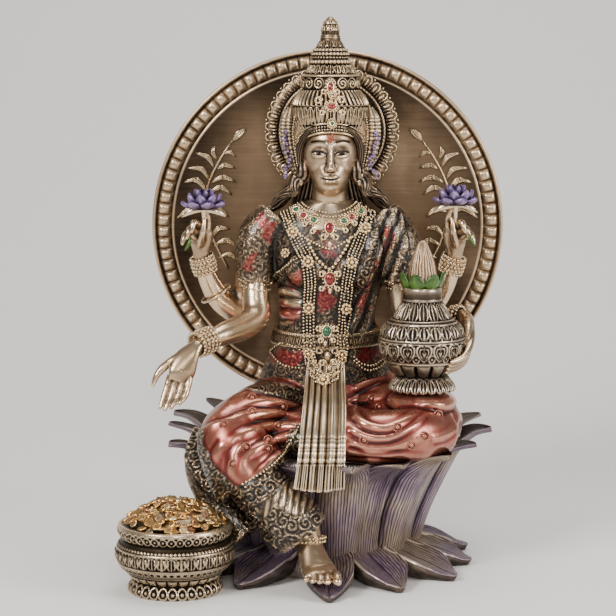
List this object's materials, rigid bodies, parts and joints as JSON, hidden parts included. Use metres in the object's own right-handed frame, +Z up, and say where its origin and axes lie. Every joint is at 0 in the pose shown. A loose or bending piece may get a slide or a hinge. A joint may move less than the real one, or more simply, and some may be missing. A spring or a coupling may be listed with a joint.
{
  "type": "lakshmi figure",
  "caption": "Seated four-armed goddess figure on a lotus throne, with a round back plate, a water pot on the thigh and a bowl of coins at the foot.",
  "frame": {"origin": "middle of the flat underside of the lotus throne, on the surface that it stands on", "axes": "+Z up to the tip of the crown, +X to the viewer's right, -Y towards the viewer"},
  "size_m": [0.1818, 0.1703, 0.26],
  "materials": {
    "bronze": "antique cold-cast bronze, rubbed bright on the high places",
    "dark_bronze": "brushed antique bronze",
    "silver_bronze": "rubbed pale bronze over dark recesses",
    "lilac_wash": "lilac wash over bronze",
    "old_gold": "rubbed old gold",
    "red_wash": "glossy red wash over bronze",
    "green_wash": "glossy green wash over bronze"
  },
  "bodies": {
    "root": {"lotus_throne": "lilac_wash", "goddess": "bronze", "back_plate": "dark_bronze", "water_pot": "silver_bronze", "coin_bowl": "old_gold"}
  },
  "joints": []
}
